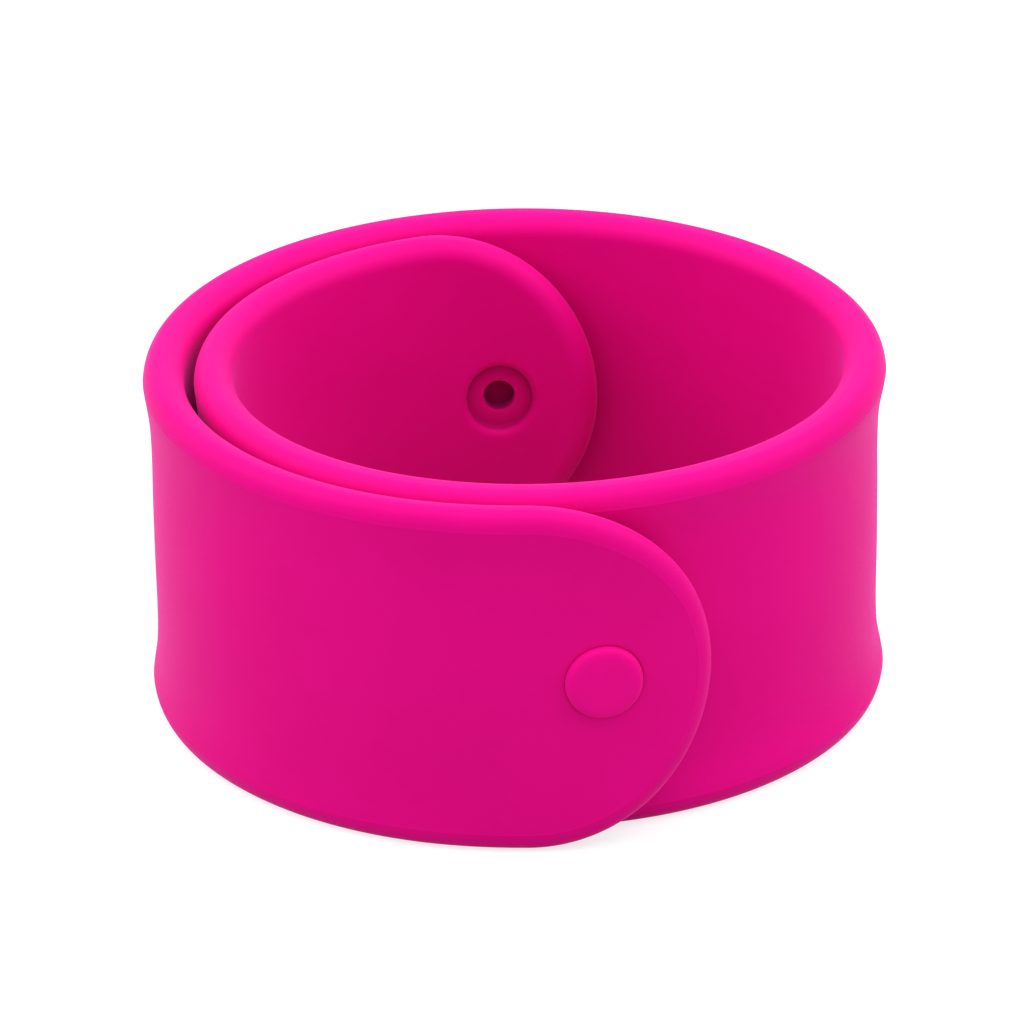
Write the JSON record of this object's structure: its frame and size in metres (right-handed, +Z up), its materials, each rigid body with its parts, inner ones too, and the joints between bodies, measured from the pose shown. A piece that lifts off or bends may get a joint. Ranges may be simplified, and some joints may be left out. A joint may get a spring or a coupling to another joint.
{
  "type": "wrist pin cushion band",
  "caption": "Coiled silicone wrist band over a flat spring strip, with a push-in stud at one rounded end and a stud seat at the other.",
  "frame": {"origin": "on the floor plane, at the middle of the coil as it stands on its lower edge", "axes": "+Z up along the axis of the coil; the outer rounded end with its stud faces -Y and +X"},
  "size_m": [0.0504, 0.0513, 0.0254],
  "materials": {
    "silicone": "satin moulded silicone, hot pink",
    "stud_silicone": "satin moulded silicone, hot pink",
    "spring_steel": "cold-rolled spring steel"
  },
  "bodies": {
    "link_01": {"sleeve_link_01": "silicone", "stud": "stud_silicone"},
    "flex_01a": {"sleeve_flex_01a": "silicone"},
    "flex_01b": {"sleeve_flex_01b": "silicone"},
    "link_02": {"sleeve_link_02": "silicone"},
    "flex_02a": {"sleeve_flex_02a": "silicone"},
    "flex_02b": {"sleeve_flex_02b": "silicone"},
    "link_03": {"sleeve_link_03": "silicone"},
    "flex_03a": {"sleeve_flex_03a": "silicone"},
    "flex_03b": {"sleeve_flex_03b": "silicone"},
    "link_04": {"sleeve_link_04": "silicone"},
    "flex_04a": {"sleeve_flex_04a": "silicone"},
    "flex_04b": {"sleeve_flex_04b": "silicone"},
    "link_05": {"sleeve_link_05": "silicone"},
    "flex_05a": {"sleeve_flex_05a": "silicone"},
    "flex_05b": {"sleeve_flex_05b": "silicone"},
    "link_06": {"sleeve_link_06": "silicone"},
    "flex_06a": {"sleeve_flex_06a": "silicone"},
    "flex_06b": {"sleeve_flex_06b": "silicone"},
    "link_07": {"sleeve_link_07": "silicone"},
    "flex_07a": {"sleeve_flex_07a": "silicone"},
    "flex_07b": {"sleeve_flex_07b": "silicone"},
    "link_08": {"sleeve_link_08": "silicone", "spring_strip": "spring_steel"},
    "flex_08a": {"sleeve_flex_08a": "silicone"},
    "flex_08b": {"sleeve_flex_08b": "silicone"},
    "link_09": {"sleeve_link_09": "silicone"},
    "flex_09a": {"sleeve_flex_09a": "silicone"},
    "flex_09b": {"sleeve_flex_09b": "silicone"},
    "link_10": {"sleeve_link_10": "silicone"},
    "flex_10a": {"sleeve_flex_10a": "silicone"},
    "flex_10b": {"sleeve_flex_10b": "silicone"},
    "link_11": {"sleeve_link_11": "silicone"},
    "flex_11a": {"sleeve_flex_11a": "silicone"},
    "flex_11b": {"sleeve_flex_11b": "silicone"},
    "link_12": {"sleeve_link_12": "silicone"},
    "flex_12a": {"sleeve_flex_12a": "silicone"},
    "flex_12b": {"sleeve_flex_12b": "silicone"},
    "link_13": {"sleeve_link_13": "silicone"},
    "flex_13a": {"sleeve_flex_13a": "silicone"},
    "flex_13b": {"sleeve_flex_13b": "silicone"},
    "link_14": {"sleeve_link_14": "silicone"},
    "flex_14a": {"sleeve_flex_14a": "silicone"},
    "flex_14b": {"sleeve_flex_14b": "silicone"},
    "link_15": {"sleeve_link_15": "silicone"},
    "flex_15a": {"sleeve_flex_15a": "silicone"},
    "flex_15b": {"sleeve_flex_15b": "silicone"}
  },
  "joints": [
    {"name": "uncoil", "type": "hinge", "parent": "link_08", "child": "link_09", "pos_m": [0.0239, -0.00328, 0], "axis": [0, 0, 1], "range_deg": [0, 39.13], "deforming": ["spring_strip"]},
    {"name": "bend_09_10", "type": "hinge", "parent": "link_09", "child": "link_10", "pos_m": [0.01619, -0.01592, 0], "axis": [0, 0, 1], "range_deg": [0, 39.13]},
    {"name": "bend_10_11", "type": "hinge", "parent": "link_10", "child": "link_11", "pos_m": [0.0012, -0.02126, 0], "axis": [0, 0, 1], "range_deg": [0, 39.13]},
    {"name": "bend_11_12", "type": "hinge", "parent": "link_11", "child": "link_12", "pos_m": [-0.01311, -0.01633, 0], "axis": [0, 0, 1], "range_deg": [0, 39.13]},
    {"name": "bend_12_13", "type": "hinge", "parent": "link_12", "child": "link_13", "pos_m": [-0.02048, -0.0043, 0], "axis": [0, 0, 1], "range_deg": [0, 39.13]},
    {"name": "bend_13_14", "type": "hinge", "parent": "link_13", "child": "link_14", "pos_m": [-0.0186, 0.00966, 0], "axis": [0, 0, 1], "range_deg": [0, 39.13]},
    {"name": "bend_14_15", "type": "hinge", "parent": "link_14", "child": "link_15", "pos_m": [-0.00832, 0.01931, 0], "axis": [0, 0, 1], "range_deg": [0, 39.13]},
    {"name": "bend_08_07", "type": "hinge", "parent": "link_08", "child": "link_07", "pos_m": [0.02174, 0.01149, 0], "axis": [0, 0, -1], "range_deg": [0, 39.13]},
    {"name": "bend_07_06", "type": "hinge", "parent": "link_07", "child": "link_06", "pos_m": [0.00979, 0.02253, 0], "axis": [0, 0, -1], "range_deg": [0, 39.13]},
    {"name": "bend_06_05", "type": "hinge", "parent": "link_06", "child": "link_05", "pos_m": [-0.00657, 0.02359, 0], "axis": [0, 0, -1], "range_deg": [0, 39.13]},
    {"name": "bend_05_04", "type": "hinge", "parent": "link_05", "child": "link_04", "pos_m": [-0.01994, 0.01409, 0], "axis": [0, 0, -1], "range_deg": [0, 39.13]},
    {"name": "bend_04_03", "type": "hinge", "parent": "link_04", "child": "link_03", "pos_m": [-0.02432, -0.00171, 0], "axis": [0, 0, -1], "range_deg": [0, 39.13]},
    {"name": "bend_03_02", "type": "hinge", "parent": "link_03", "child": "link_02", "pos_m": [-0.01773, -0.01674, 0], "axis": [0, 0, -1], "range_deg": [0, 39.13]},
    {"name": "bend_02_01", "type": "hinge", "parent": "link_02", "child": "link_01", "pos_m": [-0.00265, -0.02435, 0], "axis": [0, 0, -1], "range_deg": [0, 39.13]},
    {"name": "curl_01a", "type": "hinge", "parent": "link_01", "child": "flex_01a", "pos_m": [0.00968, -0.02263, 0], "axis": [0, 0, -1], "range_deg": [0, 19.57]},
    {"name": "curl_01b", "type": "hinge", "parent": "link_01", "child": "flex_01b", "pos_m": [0.00202, -0.02415, 0], "axis": [0, 0, 1], "range_deg": [0, 19.57]},
    {"name": "curl_02a", "type": "hinge", "parent": "link_02", "child": "flex_02a", "pos_m": [-0.00711, -0.02299, 0], "axis": [0, 0, -1], "range_deg": [0, 19.57]},
    {"name": "curl_02b", "type": "hinge", "parent": "link_02", "child": "flex_02b", "pos_m": [-0.01441, -0.01924, 0], "axis": [0, 0, 1], "range_deg": [0, 19.57]},
    {"name": "curl_03a", "type": "hinge", "parent": "link_03", "child": "flex_03a", "pos_m": [-0.02003, -0.01326, 0], "axis": [0, 0, -1], "range_deg": [0, 19.57]},
    {"name": "curl_03b", "type": "hinge", "parent": "link_03", "child": "flex_03b", "pos_m": [-0.02332, -0.00575, 0], "axis": [0, 0, 1], "range_deg": [0, 19.57]},
    {"name": "curl_04a", "type": "hinge", "parent": "link_04", "child": "flex_04a", "pos_m": [-0.0239, 0.00243, 0], "axis": [0, 0, -1], "range_deg": [0, 19.57]},
    {"name": "curl_04b", "type": "hinge", "parent": "link_04", "child": "flex_04b", "pos_m": [-0.02172, 0.01033, 0], "axis": [0, 0, 1], "range_deg": [0, 19.57]},
    {"name": "curl_05a", "type": "hinge", "parent": "link_05", "child": "flex_05a", "pos_m": [-0.01701, 0.01704, 0], "axis": [0, 0, -1], "range_deg": [0, 19.57]},
    {"name": "curl_05b", "type": "hinge", "parent": "link_05", "child": "flex_05b", "pos_m": [-0.01032, 0.0218, 0], "axis": [0, 0, 1], "range_deg": [0, 19.57]},
    {"name": "curl_06a", "type": "hinge", "parent": "link_06", "child": "flex_06a", "pos_m": [-0.00243, 0.02403, 0], "axis": [0, 0, -1], "range_deg": [0, 19.57]},
    {"name": "curl_06b", "type": "hinge", "parent": "link_06", "child": "flex_06b", "pos_m": [0.00575, 0.0235, 0], "axis": [0, 0, 1], "range_deg": [0, 19.57]},
    {"name": "curl_07a", "type": "hinge", "parent": "link_07", "child": "flex_07a", "pos_m": [0.01328, 0.02026, 0], "axis": [0, 0, -1], "range_deg": [0, 19.57]},
    {"name": "curl_07b", "type": "hinge", "parent": "link_07", "child": "flex_07b", "pos_m": [0.01929, 0.01468, 0], "axis": [0, 0, 1], "range_deg": [0, 19.57]},
    {"name": "curl_08a", "type": "hinge", "parent": "link_08", "child": "flex_08a", "pos_m": [0.02297, 0.00766, 0], "axis": [0, 0, -1], "range_deg": [0, 19.57]},
    {"name": "curl_08b", "type": "hinge", "parent": "link_08", "child": "flex_08b", "pos_m": [0.02401, 0.00036, 0], "axis": [0, 0, 1], "range_deg": [0, 19.57]},
    {"name": "curl_09a", "type": "hinge", "parent": "link_09", "child": "flex_09a", "pos_m": [0.02257, -0.00667, 0], "axis": [0, 0, -1], "range_deg": [0, 19.57]},
    {"name": "curl_09b", "type": "hinge", "parent": "link_09", "child": "flex_09b", "pos_m": [0.01876, -0.01296, 0], "axis": [0, 0, 1], "range_deg": [0, 19.57]},
    {"name": "curl_10a", "type": "hinge", "parent": "link_10", "child": "flex_10a", "pos_m": [0.01277, -0.01785, 0], "axis": [0, 0, -1], "range_deg": [0, 19.57]},
    {"name": "curl_10b", "type": "hinge", "parent": "link_10", "child": "flex_10b", "pos_m": [0.0052, -0.02056, 0], "axis": [0, 0, 1], "range_deg": [0, 19.57]},
    {"name": "curl_11a", "type": "hinge", "parent": "link_11", "child": "flex_11a", "pos_m": [-0.0028, -0.02059, 0], "axis": [0, 0, -1], "range_deg": [0, 19.57]},
    {"name": "curl_11b", "type": "hinge", "parent": "link_11", "child": "flex_11b", "pos_m": [-0.00997, -0.01808, 0], "axis": [0, 0, 1], "range_deg": [0, 19.57]},
    {"name": "curl_12a", "type": "hinge", "parent": "link_12", "child": "flex_12a", "pos_m": [-0.01548, -0.01363, 0], "axis": [0, 0, -1], "range_deg": [0, 19.57]},
    {"name": "curl_12b", "type": "hinge", "parent": "link_12", "child": "flex_12b", "pos_m": [-0.01915, -0.00762, 0], "axis": [0, 0, 1], "range_deg": [0, 19.57]},
    {"name": "curl_13a", "type": "hinge", "parent": "link_13", "child": "flex_13a", "pos_m": [-0.02061, -0.00073, 0], "axis": [0, 0, -1], "range_deg": [0, 19.57]},
    {"name": "curl_13b", "type": "hinge", "parent": "link_13", "child": "flex_13b", "pos_m": [-0.01967, 0.00625, 0], "axis": [0, 0, 1], "range_deg": [0, 19.57]},
    {"name": "curl_14a", "type": "hinge", "parent": "link_14", "child": "flex_14a", "pos_m": [-0.01644, 0.01252, 0], "axis": [0, 0, -1], "range_deg": [0, 19.57]},
    {"name": "curl_14b", "type": "hinge", "parent": "link_14", "child": "flex_14b", "pos_m": [-0.01131, 0.01734, 0], "axis": [0, 0, 1], "range_deg": [0, 19.57]},
    {"name": "curl_15a", "type": "hinge", "parent": "link_15", "child": "flex_15a", "pos_m": [-0.00485, 0.02016, 0], "axis": [0, 0, -1], "range_deg": [0, 19.57]},
    {"name": "curl_15b", "type": "hinge", "parent": "link_15", "child": "flex_15b", "pos_m": [0.00217, 0.02066, 0], "axis": [0, 0, 1], "range_deg": [0, 19.57]}
  ],
  "couplings": [
    {"joint": "bend_09_10", "follows": "uncoil", "ratio": 1},
    {"joint": "bend_10_11", "follows": "uncoil", "ratio": 1},
    {"joint": "bend_11_12", "follows": "uncoil", "ratio": 1},
    {"joint": "bend_12_13", "follows": "uncoil", "ratio": 1},
    {"joint": "bend_13_14", "follows": "uncoil", "ratio": 1},
    {"joint": "bend_14_15", "follows": "uncoil", "ratio": 1},
    {"joint": "bend_08_07", "follows": "uncoil", "ratio": 1},
    {"joint": "bend_07_06", "follows": "uncoil", "ratio": 1},
    {"joint": "bend_06_05", "follows": "uncoil", "ratio": 1},
    {"joint": "bend_05_04", "follows": "uncoil", "ratio": 1},
    {"joint": "bend_04_03", "follows": "uncoil", "ratio": 1},
    {"joint": "bend_03_02", "follows": "uncoil", "ratio": 1},
    {"joint": "bend_02_01", "follows": "uncoil", "ratio": 1},
    {"joint": "curl_01a", "follows": "uncoil", "ratio": 0.5},
    {"joint": "curl_01b", "follows": "uncoil", "ratio": 0.5},
    {"joint": "curl_02a", "follows": "uncoil", "ratio": 0.5},
    {"joint": "curl_02b", "follows": "uncoil", "ratio": 0.5},
    {"joint": "curl_03a", "follows": "uncoil", "ratio": 0.5},
    {"joint": "curl_03b", "follows": "uncoil", "ratio": 0.5},
    {"joint": "curl_04a", "follows": "uncoil", "ratio": 0.5},
    {"joint": "curl_04b", "follows": "uncoil", "ratio": 0.5},
    {"joint": "curl_05a", "follows": "uncoil", "ratio": 0.5},
    {"joint": "curl_05b", "follows": "uncoil", "ratio": 0.5},
    {"joint": "curl_06a", "follows": "uncoil", "ratio": 0.5},
    {"joint": "curl_06b", "follows": "uncoil", "ratio": 0.5},
    {"joint": "curl_07a", "follows": "uncoil", "ratio": 0.5},
    {"joint": "curl_07b", "follows": "uncoil", "ratio": 0.5},
    {"joint": "curl_08a", "follows": "uncoil", "ratio": 0.5},
    {"joint": "curl_08b", "follows": "uncoil", "ratio": 0.5},
    {"joint": "curl_09a", "follows": "uncoil", "ratio": 0.5},
    {"joint": "curl_09b", "follows": "uncoil", "ratio": 0.5},
    {"joint": "curl_10a", "follows": "uncoil", "ratio": 0.5},
    {"joint": "curl_10b", "follows": "uncoil", "ratio": 0.5},
    {"joint": "curl_11a", "follows": "uncoil", "ratio": 0.5},
    {"joint": "curl_11b", "follows": "uncoil", "ratio": 0.5},
    {"joint": "curl_12a", "follows": "uncoil", "ratio": 0.5},
    {"joint": "curl_12b", "follows": "uncoil", "ratio": 0.5},
    {"joint": "curl_13a", "follows": "uncoil", "ratio": 0.5},
    {"joint": "curl_13b", "follows": "uncoil", "ratio": 0.5},
    {"joint": "curl_14a", "follows": "uncoil", "ratio": 0.5},
    {"joint": "curl_14b", "follows": "uncoil", "ratio": 0.5},
    {"joint": "curl_15a", "follows": "uncoil", "ratio": 0.5},
    {"joint": "curl_15b", "follows": "uncoil", "ratio": 0.5}
  ]
}
